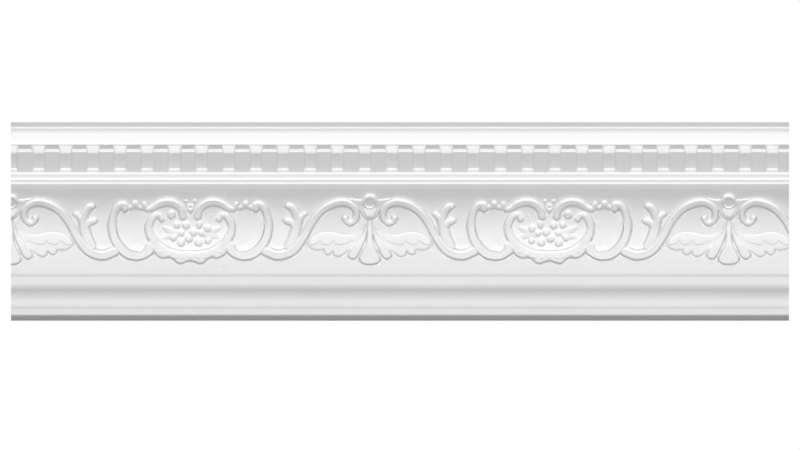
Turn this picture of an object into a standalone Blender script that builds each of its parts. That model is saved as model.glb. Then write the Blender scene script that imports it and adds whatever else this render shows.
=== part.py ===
"""Ceiling moulding: a cornice with a dentil course over a cove of scrolls, palmettes and fruit.

One cast piece, with its ornament cast on. Metres, +Z up. X runs along the wall, the wall is the
plane Y = 0 and the moulding stands out from it towards -Y. The origin is the middle of the flat
strip that is fixed to the wall.
"""

import math

import bmesh
import bpy
from mathutils import Vector

# Main sizes
LENGTH = 0.778
TOP_DEPTH = 0.0905
WALL_STRIP = 0.036
CEILING_STRIP = 0.024
UNDERSIDE_DROP = 0.0049
TRIM = 0.030

# Dentil course
DENTIL_PITCH = 0.02717
DENTIL_WIDTH = 0.0146
DENTIL_DRAFT = 0.0006
DENTIL_TOP_TAPER = 0.0018
DENTIL_SHIFT = 0.0054
DENTIL_ROOT = 0.006
DENTIL_LAP = 0.0008
DENTIL_PROUD = 0.00025

# Ornament: the pattern repeats from palmette to palmette, and its drawing is in shares of this
REPEAT = 0.3590
PATTERN_SHIFT = -0.0302
SCROLL_LIFT = 0.0008
BALL_LIFT = 0.0012
GRAPE_LIFT = -0.0007
BAND_RELIEF = 0.0045
LOBE_RELIEF = 0.0052
LOBE_LAYER = 0.00035
LEAF_RELIEF = 0.0022
PLATE_ROOT = 0.010

# How far each form reaches from its centre line along the wall, in shares of the repeat
PALMETTE_REACH = 0.18
HALF_REPEAT_START = 0.03
HALF_REPEAT_END = 0.45
CARTOUCHE_REACH = 0.15

# Faces of the cross-section from the ceiling down: height taken, lean at the head and at the foot in
# degrees, positive where the face looks down to the floor. Each flat of a curved face turns about FLAT_TURN.
FLAT_TURN = 9.0
CROWN = (
    (0.0046, 49, 47),
    (0.0016, -12, -12),
    (0.0025, 36, 30),
    (0.0030, 20, -8),
    (0.0080, -12, -12),
    (0.0026, -48, -48),
    (0.0005, 60, 60),
)
DENTIL_FACE = (
    (0.0041, 46, 46),
    (0.0028, -12, -12),
    (0.0206, 38, 36),
)
GAP_FACE = (
    (0.0079, -16, -10),
    (0.0154, 44, 38),
    (0.0016, -28, -28),
    (0.0026, 22, 22),
)
BED_STEPS = (
    (0.0017, -34, -34),
    (0.00365, 24, 24),
    (0.00175, -45, -45),
    (0.00235, 27, 27),
    (0.0020, -16, -16),
)
COVE = (
    (0.0090, 36, 42),
    (0.0423, 45, 1),
    (0.03885, 2, 2),
)
FOOT = (
    (0.0024, 28, 28),
    (0.0064, 3, 3),
    (0.0070, 5, 43),
    (0.0120, 43, 4),
    (0.0046, 2, 2),
    (0.0020, 28, 28),
    (0.0052, 4, 4),
    (0.0012, 24, 24),
    (0.0008, 52, 52),
)

# Drawing of half a repeat, from the palmette's centre line (0) to the cartouche's (HALF), in
# millimetres of a repeat of DRAWN_REPEAT: along the wall, down from the ceiling, and half the width.
DRAWN_REPEAT = 359.0
HALF = DRAWN_REPEAT / 2
S_SCROLL = (
    (25.0, 95.8, 3.3),
    (23.2, 100.0, 3.0),
    (19.0, 101.2, 3.0),
    (14.6, 98.0, 3.2),
    (13.4, 91.0, 3.5),
    (17.4, 84.0, 3.8),
    (27.7, 80.6, 4.0),
    (41.0, 84.5, 4.0),
    (51.2, 92.2, 4.0),
    (58.9, 102.4, 4.0),
    (66.5, 115.7, 4.2),
    (77.0, 129.0, 4.6),
    (91.6, 133.6, 5.0),
    (104.0, 129.5, 5.0),
)
SPRIG_BODY = ((71.2, 96.0, 3.6), (72.8, 105.7, 4.6), (76.3, 115.7, 5.0), (80.8, 125.0, 5.0))
SPRIG_TOP = ((83.3, 84.7, 2.9), (77.6, 87.4, 3.0), (71.8, 95.5, 3.4))
SPRIG_INNER = ((64.3, 91.2, 2.5), (70.0, 97.0, 3.0))
SPRIG_LOWER = ((83.3, 99.2, 3.0), (77.8, 101.7, 3.0), (73.2, 107.5, 3.4))
C_FRAME = (
    (114.2, 88.2, 3.7),
    (112.5, 84.2, 3.5),
    (107.0, 84.2, 3.7),
    (102.6, 91.0, 3.7),
    (101.0, 104.0, 3.7),
    (103.2, 115.7, 4.0),
    (109.0, 125.5, 4.8),
    (117.0, 132.6, 4.8),
    (126.0, 134.6, 4.6),
    (134.5, 131.0, 4.6),
    (140.0, 122.5, 4.4),
)
TOP_BALL = (124.3, 82.5, 4.1)
S_CURVE = (
    (133.6, 82.6, 3.2),
    (136.0, 87.0, 3.2),
    (141.6, 86.2, 3.5),
    (148.6, 82.2, 4.0),
    (157.2, 80.4, 4.1),
    (165.0, 82.8, 4.1),
    (170.4, 88.2, 4.0),
    (172.2, 94.4, 4.2),
)
CARTOUCHE_FRAME = (
    (150.9, 97.0, 3.6),
    (148.0, 93.0, 3.2),
    (143.0, 95.0, 3.6),
    (138.6, 103.0, 3.9),
    (138.9, 111.5, 4.0),
    (143.5, 119.5, 4.6),
)
BASKET_INNER = ((144.4, 113.6), (150.5, 121.2), (161.7, 127.3), (HALF, 129.4))
BASKET_OUTER = (
    (HALF, 139.3),
    (174.5, 140.6),
    (169.5, 142.3),
    (163.5, 138.6),
    (157.2, 135.5),
    (150.8, 136.3),
    (143.2, 129.8),
    (138.5, 121.0),
)
CROWN_BALLS = ((175.4, 79.2, 1.9), (HALF, 83.4, 1.9))
CROWN_STEM = ((HALF, 82.0, 3.6), (HALF, 89.0, 2.9))

# The palmette and its boss
BOSS = (0.0, 79.6, 7.9)
BELL = ((0.0, 86.0, 7.2), (0.0, 91.0, 6.6), (0.0, 94.6, 4.6))
EAR = ((7.0, 80.0, 4.2), (12.5, 78.0, 2.6), (19.5, 76.8, 1.4))
CENTRE_LOBE = (
    (0.0, 93.0, 2.9),
    (0.0, 104.0, 2.5),
    (0.0, 114.0, 3.2),
    (0.0, 126.0, 8.8),
    (0.0, 134.5, 10.8),
    (0.0, 140.6, 8.4),
)
SIDE_LOBES = (
    ((1.0, 106.5, 1.8), (6.6, 116.5, 3.4), (12.6, 126.0, 5.2), (16.6, 132.2, 5.4), (18.2, 135.6, 4.0)),
    ((1.2, 103.0, 2.0), (12.0, 114.8, 3.8), (25.0, 124.5, 5.6), (33.2, 130.6, 4.6)),
    ((1.4, 100.0, 2.2), (14.0, 111.0, 4.2), (31.0, 120.0, 6.4), (42.6, 128.0, 4.8)),
    ((1.6, 97.5, 2.2), (14.0, 108.0, 3.2), (33.0, 114.8, 5.6), (49.0, 118.6, 7.6), (58.0, 121.4, 5.0)),
)

# Fruit in the cartouche, from the cartouche's centre line, towards the middle palmette
GRAPES = (
    (-13.6, 103.1, 3.8),
    (-4.3, 103.4, 4.3),
    (-9.0, 111.1, 3.0),
    (-9.5, 120.9, 4.6),
    (-16.9, 115.5, 4.0),
    (-1.6, 117.4, 3.8),
    (2.8, 109.2, 3.6),
    (11.4, 111.1, 3.3),
    (8.4, 120.7, 4.6),
    (17.8, 118.7, 4.0),
    (17.8, 106.0, 4.5),
    (8.7, 102.4, 3.9),
    (-18.8, 92.7, 4.5),
)
FRUIT_LEAVES = (
    ((-14.0, 109.0), (-27.8, 104.1), (-23.5, 110.8), (-30.0, 117.4), (-15.0, 116.0)),
    ((15.0, 109.0), (30.3, 104.7), (26.0, 110.8), (31.2, 116.8), (16.0, 117.0)),
)

# How finely the curves are faceted, in the drawing's millimetres
CURL_STEP = 6.0
RUN_STEP = 9.5
OUTLINE_STEP = 5.6
TUBE_RESOLUTION = 1
BALL_SEGMENTS = 7
BALL_RINGS = 5


def clear_scene():
    for obj in list(bpy.data.objects):
        bpy.data.objects.remove(obj, do_unlink=True)


def matte_white():
    material = bpy.data.materials.new("moulding_white")
    material.use_nodes = True
    shader = material.node_tree.nodes["Principled BSDF"]
    shader.inputs["Base Color"].default_value = (0.82, 0.82, 0.82, 1.0)
    shader.inputs["Roughness"].default_value = 0.7
    shader.inputs["Metallic"].default_value = 0.0
    return material


def run_down(faces, depth, height):
    """Points (depth, height below the ceiling) down a stack of faces, without its first point."""
    points = []
    for drop, lean_head, lean_foot in faces:
        flats = max(1, round(abs(lean_foot - lean_head) / FLAT_TURN))
        for index in range(flats):
            lean = lean_head + (lean_foot - lean_head) * (index + 0.5) / flats
            depth -= drop / flats * math.tan(math.radians(lean))
            height += drop / flats
            points.append((depth, height))
    return points


def cross_section():
    """The front of the cross-section at a gap, and the same stretch of it over a dentil."""
    front = [(TOP_DEPTH, 0.0)]
    front += run_down(CROWN, TOP_DEPTH, 0.0)
    head_depth, head_height = front[-1]
    dentil = [front[-1]] + run_down(DENTIL_FACE, head_depth, head_height)
    foot_depth = dentil[-1][0]
    gap_run = run_down(GAP_FACE, 0.0, head_height)
    gap_head = foot_depth - gap_run[-1][0]
    front.append((gap_head, head_height))
    front += run_down(GAP_FACE, gap_head, head_height)
    for faces in (BED_STEPS, COVE, FOOT):
        front += run_down(faces, *front[-1])
    return front, dentil


FRONT, DENTIL = cross_section()
HEIGHT = FRONT[-1][1] + UNDERSIDE_DROP
CEILING_Z = HEIGHT - WALL_STRIP / 2


def depth_at(height):
    """How far the face of the moulding stands from the wall at a height below the ceiling."""
    for (upper, head), (lower, foot) in zip(FRONT, FRONT[1:]):
        if head <= height <= foot and foot > head:
            return upper + (lower - upper) * (height - head) / (foot - head)
    return FRONT[-1][0]


def lean_at(height):
    reach = 0.001
    return math.atan2(depth_at(height - reach) - depth_at(height + reach), 2 * reach)


def smooth(points, step, closed=False):
    """Points on the Catmull-Rom curve through these points, about a step apart."""
    knots = [Vector(point) for point in points]
    count = len(knots)
    if closed:
        ring = [knots[-1]] + knots + knots[:2]
        spans = count
    else:
        ring = [2 * knots[0] - knots[1]] + knots + [2 * knots[-1] - knots[-2]]
        spans = count - 1
    found = []
    for index in range(spans):
        a, b, c, d = ring[index : index + 4]
        pieces = max(1, round((c - b).length / step))
        for part in range(pieces):
            t = part / pieces
            found.append(
                0.5
                * (2 * b + (c - a) * t + (2 * a - 5 * b + 4 * c - d) * t**2 + (3 * b - a - 3 * c + d) * t**3)
            )
    if not closed:
        found.append(knots[-1])
    return found


class Place:
    """Where a half repeat is drawn: its centre line on the wall, and which way it runs."""

    def __init__(self, centre, side):
        self.centre = centre
        self.side = side
        self.scale = REPEAT / DRAWN_REPEAT

    def x(self, across):
        return self.centre + self.side * across * self.scale

    def height(self, drawn):
        return drawn * self.scale

    def on_face(self, across, drawn, lift):
        height = self.height(drawn)
        out = depth_at(height) + lift / math.cos(lean_at(height))
        return Vector((self.x(across), -out, CEILING_Z - height))


def link(obj, collection):
    collection.objects.link(obj)
    return obj


def as_mesh(obj, collection):
    """Replaces a curve object by the mesh that it draws, with its caps welded on."""
    bpy.context.view_layer.update()
    graph = bpy.context.evaluated_depsgraph_get()
    mesh = bpy.data.meshes.new_from_object(obj.evaluated_get(graph))
    mesh.transform(obj.matrix_world)
    name = obj.name
    curve = obj.data
    bpy.data.objects.remove(obj, do_unlink=True)
    bpy.data.curves.remove(curve)
    body = bmesh.new()
    body.from_mesh(mesh)
    bmesh.ops.remove_doubles(body, verts=body.verts, dist=1e-6)
    bmesh.ops.recalc_face_normals(body, faces=body.faces)
    body.to_mesh(mesh)
    body.free()
    return link(bpy.data.objects.new(name, mesh), collection)


def flat_outline(name, corners, half_thickness, collection):
    """A filled outline in local X and Y, thickened both ways along Z."""
    curve = bpy.data.curves.new(name, "CURVE")
    curve.dimensions = "2D"
    curve.fill_mode = "BOTH"
    curve.extrude = half_thickness
    spline = curve.splines.new("POLY")
    spline.points.add(len(corners) - 1)
    for point, corner in zip(spline.points, corners):
        point.co = (corner[0], corner[1], 0.0, 1.0)
    spline.use_cyclic_u = True
    return link(bpy.data.objects.new(name, curve), collection)


def long_body(collection):
    """The moulding's cross-section at a gap, drawn out past both ends."""
    corners = [(depth, CEILING_Z - height) for depth, height in FRONT]
    corners.append((0.0, -WALL_STRIP / 2))
    corners.append((0.0, WALL_STRIP / 2))
    corners.append((TOP_DEPTH - CEILING_STRIP, CEILING_Z))
    body = flat_outline("ceiling_moulding", corners, LENGTH / 2 + TRIM, collection)
    body.rotation_euler = (math.pi / 2, 0.0, -math.pi / 2)
    return as_mesh(body, collection)


def dentil_block(index, centre, collection):
    """One dentil: narrower at its head, with drafted sides, and lapped into the body all round."""
    head_lean, foot_lean = (math.radians(lean) for lean in (DENTIL_FACE[0][1], DENTIL_FACE[-1][2]))
    head_depth, head_height = DENTIL[0]
    foot_depth, foot_height = DENTIL[-1]
    root = foot_depth - DENTIL_ROOT
    head_out = DENTIL_PROUD + DENTIL_LAP * math.tan(head_lean)
    foot_out = DENTIL_PROUD - DENTIL_LAP * math.tan(foot_lean)
    lap_head = (head_depth + head_out, head_height - DENTIL_LAP)
    lap_foot = (foot_depth + foot_out, foot_height + DENTIL_LAP)
    outline = [lap_head, *DENTIL[1:-1], lap_foot]
    outline.append((root, lap_foot[1]))
    outline.append((root, lap_head[1]))
    corners = [(depth, CEILING_Z - height) for depth, height in outline]
    block = flat_outline(f"dentil_{index}", corners, DENTIL_WIDTH / 2, collection)
    block.rotation_euler = (math.pi / 2, 0.0, -math.pi / 2)
    block = as_mesh(block, collection)
    shoulder = CEILING_Z - (head_height + DENTIL[1][1]) / 2
    for vertex in block.data.vertices:
        side = math.copysign(1.0, vertex.co.x)
        if vertex.co.z > shoulder:
            vertex.co.x -= side * DENTIL_TOP_TAPER
        if -vertex.co.y < root + DENTIL_ROOT / 2:
            vertex.co.x += side * DENTIL_DRAFT
        vertex.co.x += centre
    return block


def tube(name, path, place, collection, step=RUN_STEP):
    """A round moulding of changing width, laid along the face of the cove."""
    curve = bpy.data.curves.new(name, "CURVE")
    curve.dimensions = "3D"
    curve.bevel_depth = 1.0
    curve.bevel_resolution = TUBE_RESOLUTION
    curve.use_fill_caps = True
    points = smooth(path, step)
    spline = curve.splines.new("POLY")
    spline.points.add(len(points) - 1)
    for point, (across, drawn, radius) in zip(spline.points, points):
        point.co = (*place.on_face(across, drawn, SCROLL_LIFT), 1.0)
        point.radius = radius * place.scale
    return as_mesh(link(bpy.data.objects.new(name, curve), collection), collection)


def lobe(name, path, place, relief, collection):
    """A leaf's lobe: a tube pressed flat to a relief height over the face of the cove."""
    obj = tube(name, path, place, collection)
    widest = max(radius for _, _, radius in path) * place.scale
    press = relief / (widest + SCROLL_LIFT)
    for vertex in obj.data.vertices:
        ground = -depth_at(CEILING_Z - vertex.co.z)
        vertex.co.y = ground + (vertex.co.y - ground) * press
    return obj


def plate(name, corners, place, relief, collection):
    """A flat raised form with upright edges, over the ground at the foot of its outline."""
    ground = depth_at(place.height(max(corner[1] for corner in corners)))
    flat = [(place.x(corner[0]), CEILING_Z - place.height(corner[1])) for corner in corners]
    body = flat_outline(name, flat, (relief + PLATE_ROOT) / 2, collection)
    body.rotation_euler = (math.pi / 2, 0.0, 0.0)
    body.location = (0.0, -ground - (relief - PLATE_ROOT) / 2, 0.0)
    return as_mesh(body, collection)


def ball(name, spot, place, collection, lift=BALL_LIFT):
    """A ball with its middle a little over, or under, the face of the cove."""
    across, drawn, radius = spot
    radius *= place.scale
    body = bmesh.new()
    bmesh.ops.create_uvsphere(body, u_segments=BALL_SEGMENTS, v_segments=BALL_RINGS, radius=radius)
    for vertex in body.verts:
        vertex.co = Vector((vertex.co.x, vertex.co.z, vertex.co.y))
    bmesh.ops.translate(body, verts=body.verts, vec=place.on_face(across, drawn, lift))
    bmesh.ops.recalc_face_normals(body, faces=body.faces)
    mesh = bpy.data.meshes.new(name)
    body.to_mesh(mesh)
    body.free()
    return link(bpy.data.objects.new(name, mesh), collection)


def half_repeat(index, place, collection):
    """Scroll, sprig, C frame, curve and cartouche side between a palmette and a cartouche."""
    tube(f"scroll_{index}", S_SCROLL, place, collection, CURL_STEP)
    runs = {
        "sprig_body": SPRIG_BODY,
        "sprig_top": SPRIG_TOP,
        "sprig_inner": SPRIG_INNER,
        "sprig_lower": SPRIG_LOWER,
        "c_frame": C_FRAME,
        "s_curve": S_CURVE,
        "cartouche_side": CARTOUCHE_FRAME,
        "ear": EAR,
    }
    for name, run in runs.items():
        tube(f"{name}_{index}", run, place, collection)
    for number, spot in enumerate((TOP_BALL, CROWN_BALLS[0])):
        ball(f"bead_{number}_{index}", spot, place, collection)
    for number, path in enumerate(SIDE_LOBES):
        relief = LOBE_RELIEF - (number + 1) * LOBE_LAYER
        lobe(f"side_lobe_{number}_{index}", path, place, relief, collection)


def palmette(index, place, collection):
    """The boss, bell and middle lobe on a palmette's centre line."""
    ball(f"boss_{index}", BOSS, place, collection)
    tube(f"bell_{index}", BELL, place, collection)
    lobe(f"centre_lobe_{index}", CENTRE_LOBE, place, LOBE_RELIEF, collection)


def cartouche(index, place, collection):
    """The basket band, crown and fruit on a cartouche's centre line."""
    half = [(across - HALF, drawn) for across, drawn in (*BASKET_INNER, *BASKET_OUTER)]
    inner = half[: len(BASKET_INNER)]
    outer = half[len(BASKET_INNER) :]
    over = [(-across, drawn) for across, drawn in reversed(inner[:-1])]
    under = [(-across, drawn) for across, drawn in reversed(outer[1:])]
    outline = smooth(inner + over, OUTLINE_STEP) + smooth(under + outer, OUTLINE_STEP)
    plate(f"basket_{index}", outline, place, BAND_RELIEF, collection)
    across, drawn, radius = CROWN_BALLS[1]
    ball(f"crown_ball_{index}", (across - HALF, drawn, radius), place, collection)
    stem = [(across - HALF, drawn, radius) for across, drawn, radius in CROWN_STEM]
    tube(f"crown_stem_{index}", stem, place, collection)
    for number, grape in enumerate(GRAPES):
        ball(f"grape_{number}_{index}", grape, place, collection, GRAPE_LIFT)
    for number, leaf in enumerate(FRUIT_LEAVES):
        plate(f"fruit_leaf_{number}_{index}", leaf, place, LEAF_RELIEF, collection)


def end_block(name, side, collection):
    """The block of air past one end, where the moulding is cut square."""
    body = bmesh.new()
    bmesh.ops.create_cube(body, size=1.0)
    mesh = bpy.data.meshes.new(name)
    body.to_mesh(mesh)
    body.free()
    block = link(bpy.data.objects.new(name, mesh), collection)
    block.scale = (4 * TRIM, 4 * TOP_DEPTH, 4 * HEIGHT)
    block.location = (side * (LENGTH / 2 + 2 * TRIM), 0.0, 0.0)
    return block


def add_ornament(collection):
    """Every palmette, half repeat and cartouche that any part of the length shows."""
    reach = LENGTH / 2 + TRIM / 2
    count = math.ceil(LENGTH / REPEAT / 2) + 1
    for index in range(-count, count + 1):
        centre = PATTERN_SHIFT + index * REPEAT
        if abs(centre) - PALMETTE_REACH * REPEAT < reach:
            palmette(f"p{index + count}", Place(centre, 1), collection)
        for side in (-1, 1):
            inner = abs(centre + side * HALF_REPEAT_START * REPEAT)
            outer = abs(centre + side * HALF_REPEAT_END * REPEAT)
            if min(inner, outer) < reach:
                half_repeat(f"h{index + count}_{side + 1}", Place(centre, side), collection)
        middle = centre + REPEAT / 2
        if abs(middle) - CARTOUCHE_REACH * REPEAT < reach:
            facing = 1 if middle < PATTERN_SHIFT else -1
            cartouche(f"c{index + count}", Place(middle, facing), collection)


def drop_past_ends(collection):
    """Removes the forms that lie wholly past either end."""
    for obj in list(collection.objects):
        along = [vertex.co.x for vertex in obj.data.vertices]
        if min(along) > LENGTH / 2 or max(along) < -LENGTH / 2:
            bpy.data.objects.remove(obj, do_unlink=True)


def add_dentils(collection):
    reach = LENGTH / 2 + DENTIL_WIDTH
    count = math.ceil(LENGTH / DENTIL_PITCH)
    for index in range(-count, count + 1):
        centre = DENTIL_SHIFT + index * DENTIL_PITCH
        if abs(centre) < reach:
            dentil_block(index + count, centre, collection)


def combine(body, added, removed):
    """Joins every added form to the body, then cuts the ends square."""
    for operation, operands in (("UNION", added), ("DIFFERENCE", removed)):
        modifier = body.modifiers.new(operation.lower(), "BOOLEAN")
        modifier.operation = operation
        modifier.operand_type = "COLLECTION"
        modifier.collection = operands
        modifier.solver = "EXACT"


def main():
    clear_scene()
    scene = bpy.context.scene
    moulding = bpy.data.collections.new("ceiling_moulding")
    added = bpy.data.collections.new("cast_on_forms")
    removed = bpy.data.collections.new("cutters")
    for collection in (moulding, added, removed):
        scene.collection.children.link(collection)
    body = long_body(moulding)
    add_dentils(added)
    add_ornament(added)
    drop_past_ends(added)
    for side in (-1, 1):
        end_block(f"end_{side + 1}", side, removed)
    for collection in (added, removed):
        for obj in collection.objects:
            obj.hide_render = True
            obj.display_type = "WIRE"
    combine(body, added, removed)
    body.data.materials.append(matte_white())


main()
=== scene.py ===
"""Looks of the ceiling moulding: its true surface with all the relief, its finish, light and camera.

The drawing is in millimetres: along the wall, down from the ceiling and out from the wall. It becomes
metres when the mesh is made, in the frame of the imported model.
"""

import math

import bmesh
import bpy
import numpy as np
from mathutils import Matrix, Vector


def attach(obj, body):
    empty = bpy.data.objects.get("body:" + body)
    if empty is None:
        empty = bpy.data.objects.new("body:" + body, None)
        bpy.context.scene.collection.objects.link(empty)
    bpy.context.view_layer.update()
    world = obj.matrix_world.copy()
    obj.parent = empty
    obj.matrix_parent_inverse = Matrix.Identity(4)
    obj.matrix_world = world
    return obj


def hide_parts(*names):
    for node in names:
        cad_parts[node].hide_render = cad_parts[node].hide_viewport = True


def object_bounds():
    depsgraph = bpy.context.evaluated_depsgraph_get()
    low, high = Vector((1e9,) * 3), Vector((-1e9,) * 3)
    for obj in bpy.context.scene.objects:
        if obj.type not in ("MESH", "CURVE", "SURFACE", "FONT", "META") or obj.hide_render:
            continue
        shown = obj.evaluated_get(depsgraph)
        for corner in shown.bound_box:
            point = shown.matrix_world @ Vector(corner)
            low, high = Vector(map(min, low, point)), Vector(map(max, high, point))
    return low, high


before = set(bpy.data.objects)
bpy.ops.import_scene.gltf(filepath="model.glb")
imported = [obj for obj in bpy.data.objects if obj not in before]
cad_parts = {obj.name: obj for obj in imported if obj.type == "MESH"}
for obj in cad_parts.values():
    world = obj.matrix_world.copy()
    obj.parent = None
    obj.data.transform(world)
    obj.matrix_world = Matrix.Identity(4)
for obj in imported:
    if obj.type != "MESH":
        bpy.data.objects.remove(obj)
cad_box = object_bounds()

MM = 0.001
NODE = "ceiling_moulding"

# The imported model's box gives the main sizes
LOW, HIGH = (np.array(corner) / MM for corner in cad_box)
LENGTH = HIGH[0] - LOW[0]
HEIGHT = HIGH[2] - LOW[2]
TOP_DEPTH = -LOW[1]
WALL_STRIP = 36.0
CEILING_STRIP = 24.0

# Faces of the cross-section from the ceiling down: height taken, lean at the head and at the foot in
# degrees, positive where the face looks down to the floor.
CROWN = (
    (4.6, 49, 47),
    (1.6, -12, -12),
    (2.5, 36, 30),
    (3.0, 20, -8),
    (6.5, -12, -13),
    (1.5, -6, -6),
    (2.6, -46, -50),
    (0.5, 60, 60),
)
DENTIL_FACE = (
    (4.1, 45, 48),
    (2.8, -12, -12),
    (20.6, 38, 36),
)
GAP_FACE = (
    (7.9, -16, 2),
    (15.4, 44, 33),
    (1.6, -28, -28),
    (2.6, 22, 22),
)
BED_STEPS = (
    (1.7, -34, -34),
    (3.65, 24, 24),
    (1.75, -45, -45),
    (2.35, 27, 27),
    (2.0, -16, -16),
)
COVE = (
    (9.0, 33, 45),
    (42.3, 45, 1),
    (38.85, 1, 3),
)
FOOT = (
    (2.4, 28, 28),
    (6.4, 3, 3),
    (7.0, 5, 43),
    (12.0, 43, 4),
    (4.6, 1, 1),
    (2.0, 28, 28),
    (5.2, 4, 4),
    (1.2, 12, 35),
    (0.8, 40, 62),
)
FACE_STEP = 0.15
CORNER_EASE = 0.13
EASE_SPREAD = 3
EVEN_STEP = 0.08
ROW_ERROR = 0.012
PLAIN_COLUMNS = 24
SEAM = 0.6

# Dentil course. The columns stand at these places past each dentil's edge, over the gap.
DENTIL_PITCH = 27.17
DENTIL_WIDTH = 14.6
DENTIL_SHIFT = 5.4
DENTIL_EASE = 0.2
DENTIL_ROW_ERROR = 0.02
DENTIL_ROW_LEAST = 0.3
DENTIL_TOP_TAPER = 1.8
TAPER_REACH = 3.0
TAPER_LOSS = 0.6
END_CLEARANCE = 0.05
WALL_OFFSETS = (-3.0, -0.3, -0.12, 0.0, 0.7, 1.0, 1.6, 2.6, 4.2)
EDGE_ROUND = 0.3
EDGE_LOSS = 0.07
WALL_RUN = 0.7
FLUTE_HEAD = 0.36
FLUTE_POWER = 2.0

# Ornament zone, on a grid that is fine where the relief is sharp
PATTERN_SHIFT = -30.2
REPEAT = 359.0
HALF = REPEAT / 2
ZONE_TOP = 69.0
CELL = 8
SQUARES = (1, 2, 4, CELL)
CELL_COLUMNS = 194
CELL_ROWS = 19
FINE = LENGTH / (CELL * CELL_COLUMNS)
ZONE_FOOT = ZONE_TOP + FINE * CELL * CELL_ROWS
SPLIT_ERROR = 0.075
TRIANGLE_LIMIT = 196000
KEPT_MARGIN = 1.6
WALL_SKIN = 1.0
PLAIN_CREASE = 32
RELIEF_CREASE = 36
SAME_SPOT = 2e-6
THINNEST = 1e-7
FLAT_END = 0.9999

# Relief: how forms rise from the ground and meet each other
CANVAS_STEP = 0.2
PATH_STEP = 0.3
RAMP_STEP = 0.4
OUTLINE_STEP = 0.8
MARGIN = 1.6
FAR = 1e9
TINY = 1e-9
BLEND = 0.3
SKIRT = 5.0
WALL_WIDTH = 2.4
WALL_HEIGHT = 4.4
SHOULDER_START = 0.42
SHOULDER_HEIGHT = 0.7
TUBE_WALL = 0.72
TUBE_DOME = 0.7
BALL_WALL = 0.6
BALL_DOME = 0.42
BALL_HEIGHT = 2.6
FULL_RADIUS = 3.8
DOME_FOOT = 118.0
DOME_RUN = 28.0
DOME_LEAST = 0.2
RIM_START = 0.3
RIM_RUN = 0.2
RIM_ENDS = (0.2, 1.02)
RIM_FADE = 6
RISE_START = 0.35
FADE_START = 0.08
DISH_HEAD = 0.3
END_FADE = 4

# Fine lines: the notch at the foot of a form, left out at level edges, and the groove beside a ramp
FOOT_LINE_DEPTH = 3.2
FOOT_LINE_WIDTH = 1.0
FOOT_LINE_PLAIN = 1.0
LEVEL_START = 0.92
LEVEL_RUN = 0.3
RAMP_WIDTH = 11.0
RAMP_HEIGHT = 4.4
GROOVE_DEPTH = 6.0
GROOVE_WIDTH = 1.2

# How far the half repeat is drawn past its two centre lines, and the fruit to each side of its own
OVERLAP = 12.0
FRUIT_REACH = 36.0
FRUIT_USED = 35.0

# Camera: the photograph's width in pixels, the size of one of them, and where its middle lies from the
# middle of the moulding, along the wall and up
PHOTO_WIDTH = 800
PHOTO_SCALE = MM
PHOTO_SHIFT = (0.0, -3.5)
CAMERA_AWAY = 3.0
FLOOR_SIZE = 12.0
FLOOR_DROP = 0.25

# Light: the share of the whole that comes from all round and how it grows upward, and lamps with
# their own share, azimuth from the front, elevation in degrees and whether they cast shadows
LIGHT_LEVEL = 1.21
AMBIENT = 0.28
AMBIENT_RISE = 0.20
LAMP_SPREAD = 20
LAMPS = {
    "front": (0.585, 0, 0, True),
    "front_top": (0.18, 0, 45, False),
    "top": (0.17, 0, 90, False),
    "left": (0.02, -60, 0, True),
    "right": (0.02, 60, 0, True),
    "back": (0.30, 180, 30, True),
}


def run_down(faces, depth, height):
    """Points (depth, height) down a stack of faces whose lean changes evenly, first point left out."""
    points = []
    for drop, head, foot in faces:
        steps = max(2, int(round(drop / FACE_STEP)))
        for index in range(steps):
            lean = math.radians(head + (foot - head) * (index + 0.5) / steps)
            depth -= drop / steps * math.tan(lean)
            height += drop / steps
            points.append((depth, height))
    return points


def eased(points, ease=CORNER_EASE):
    """The same run with its corners softened, its two ends kept."""
    points = np.array(points)
    along = np.concatenate([[0], np.cumsum(np.hypot(*np.diff(points, axis=0).T))])
    count = int(along[-1] / EVEN_STEP) + 2
    even = np.linspace(0, along[-1], count)
    line = np.column_stack([np.interp(even, along, points[:, axis]) for axis in (0, 1)])
    pitch = even[1]
    reach = int(EASE_SPREAD * ease / pitch)
    weights = np.exp(-0.5 * (np.arange(-reach, reach + 1) * pitch / ease) ** 2)
    weights /= weights.sum()
    head = 2 * line[0] - line[reach:0:-1]
    foot = 2 * line[-1] - line[-2 : -reach - 2 : -1]
    padded = np.vstack([head, line, foot])
    return np.column_stack([np.convolve(padded[:, axis], weights, "valid") for axis in (0, 1)])


def thinned(line, error=ROW_ERROR):
    """The fewest points of a line that stay within an error of it."""
    keep = np.zeros(len(line), bool)
    keep[[0, -1]] = True
    stack = [(0, len(line) - 1)]
    while stack:
        first, last = stack.pop()
        if last - first < 2:
            continue
        chord = line[last] - line[first]
        size = np.hypot(*chord)
        away = line[first + 1 : last] - line[first]
        off = np.abs(away[:, 0] * chord[1] - away[:, 1] * chord[0]) / max(size, TINY)
        worst = int(off.argmax())
        if off[worst] > error:
            middle = first + 1 + worst
            keep[middle] = True
            stack += [(first, middle), (middle, last)]
    return line[keep]


crown_line = np.array([(TOP_DEPTH, 0.0)] + run_down(CROWN, TOP_DEPTH, 0.0))
CREASE = crown_line[-1]
dentil_line = np.array([CREASE] + run_down(DENTIL_FACE, *CREASE))
gap_run = run_down(GAP_FACE, 0.0, CREASE[1])
gap_head = dentil_line[-1][0] - gap_run[-1][0]
gap_line = np.array([(gap_head, CREASE[1])] + run_down(GAP_FACE, gap_head, CREASE[1]))
BED_HEAD = dentil_line[-1]
below = [tuple(BED_HEAD)]
for stack_of_faces in (BED_STEPS, COVE, FOOT):
    below += run_down(stack_of_faces, *below[-1])
below_line = eased(below)
below_line[0] = BED_HEAD


def ground(height):
    """Depth of the plain face below the dentils."""
    return np.interp(height, below_line[:, 1], below_line[:, 0])


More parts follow.
